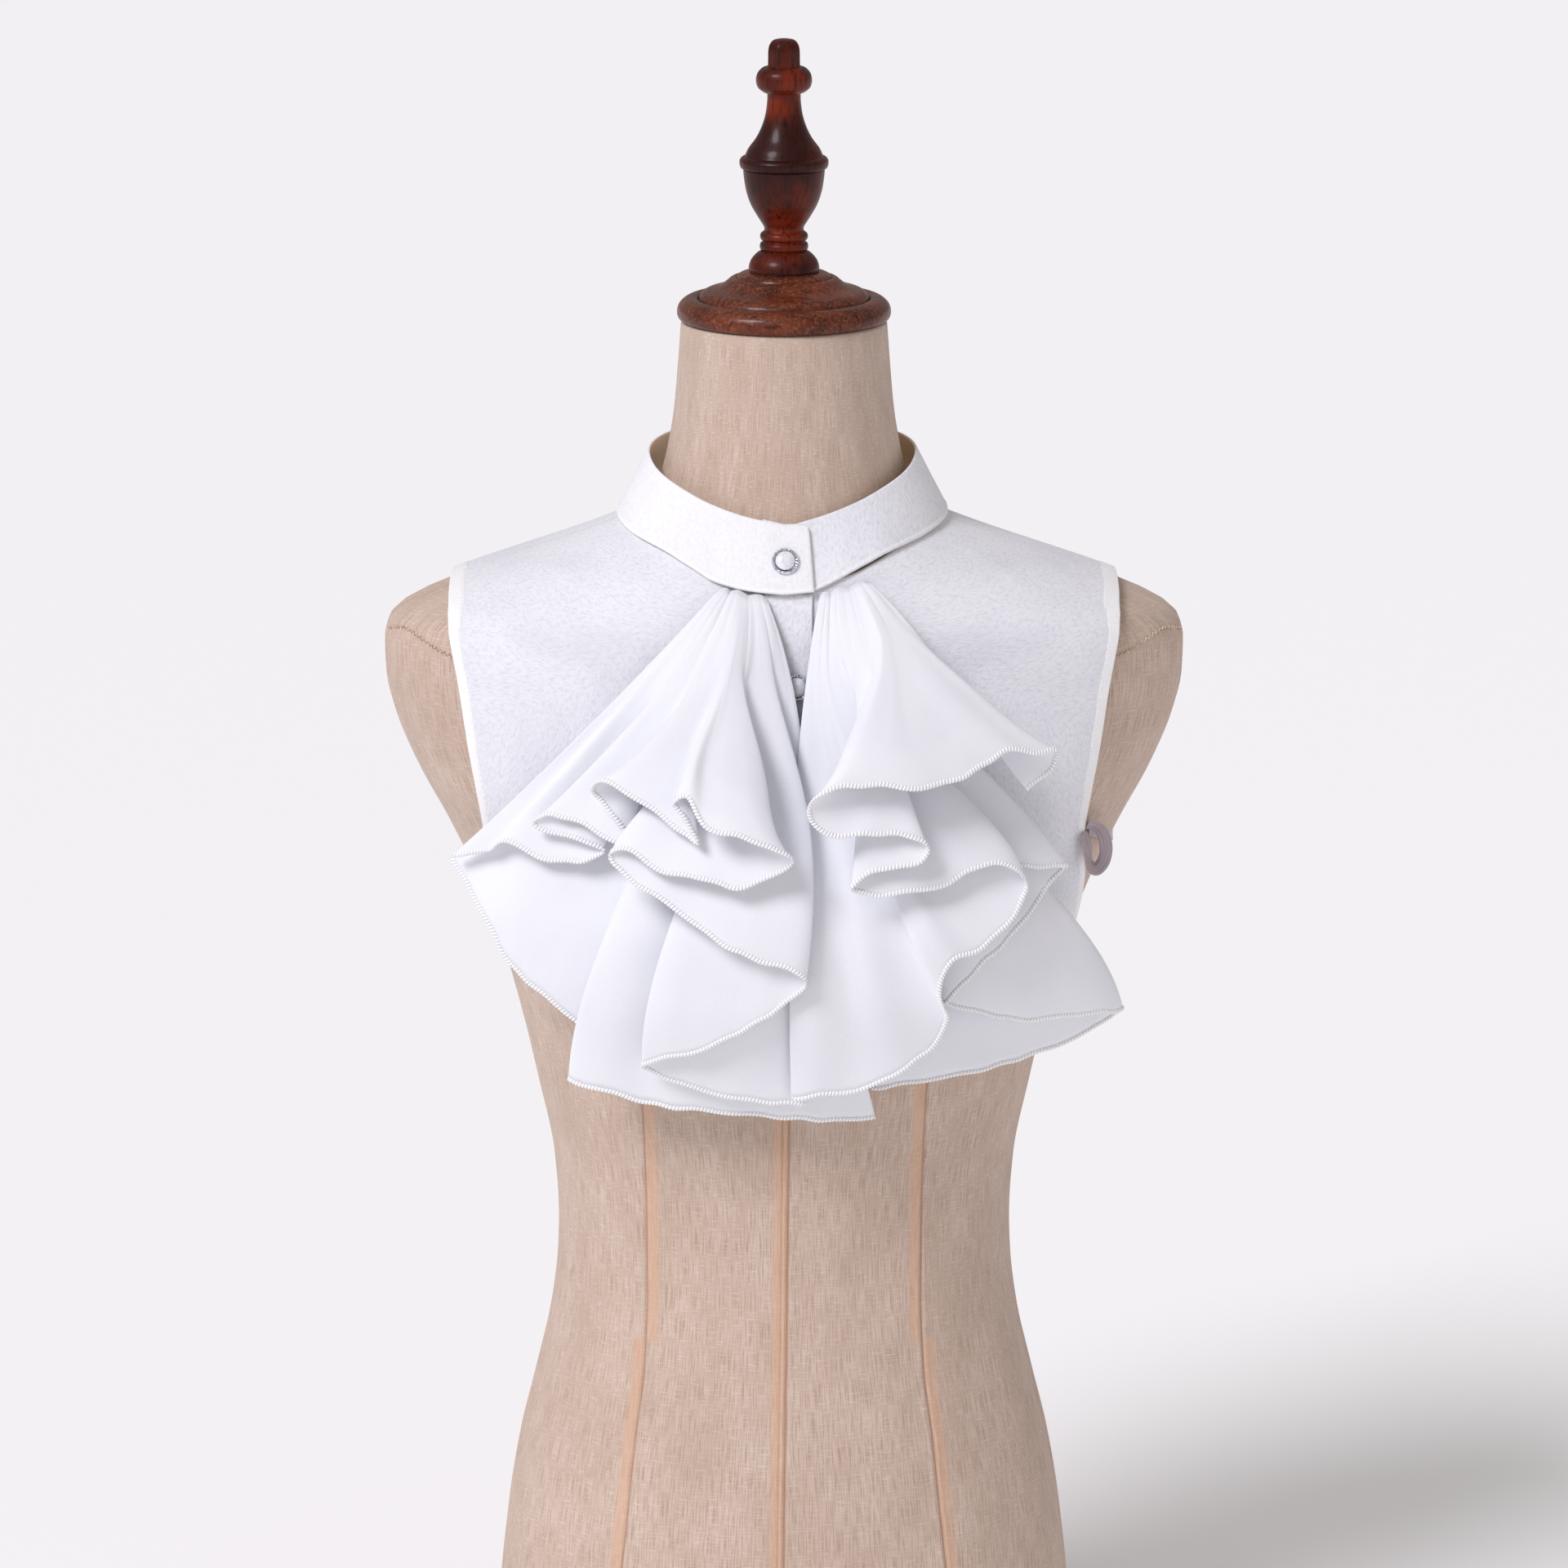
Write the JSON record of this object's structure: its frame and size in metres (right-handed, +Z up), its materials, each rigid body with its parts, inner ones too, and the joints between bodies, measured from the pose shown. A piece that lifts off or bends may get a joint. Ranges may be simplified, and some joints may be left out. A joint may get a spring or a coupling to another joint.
{
  "type": "ruffled collar on a limbless dress form",
  "caption": "Detachable white false collar with a stand band, armhole-cut yoke, tiered cascading ruffles and pearl buttons, worn on a padded limbless dress form with a turned wood cap.",
  "frame": {"origin": "centre of the flat underside of the dress form, on the surface it stands on", "axes": "+Z up the form to the finial, -Y out of the wearer's front through the buttons, +X to the viewer's right, the wearer's left"},
  "size_m": [0.3928, 0.2914, 0.8604],
  "materials": {
    "linen": "matte plain-woven linen cover over padding",
    "mahogany": "turned hardwood, red-brown stain, gloss varnish",
    "crepe": "white crepe, slightly translucent, matte",
    "chiffon": "white double chiffon with rolled hems, soft sheen",
    "satin": "mauve-grey satin ribbon",
    "silver": "silver-plated rim set with clear stones",
    "pearl": "imitation pearl"
  },
  "bodies": {
    "root": {"form_torso": "linen", "neck_cap": "mahogany", "finial": "mahogany", "front_left": "crepe", "front_right": "crepe", "back_left": "crepe", "back_right": "crepe", "placket": "crepe", "collar_band": "crepe", "flounce_left_upper": "chiffon", "flounce_left_lower": "chiffon", "flounce_right_upper": "chiffon", "flounce_right_lower": "chiffon", "button_upper_rim": "silver", "button_upper_pearl": "pearl", "button_lower_rim": "silver", "button_lower_pearl": "pearl", "side_strap_left": "satin", "side_strap_right": "satin", "side_loop_left": "satin", "side_loop_right": "satin"}
  },
  "joints": []
}
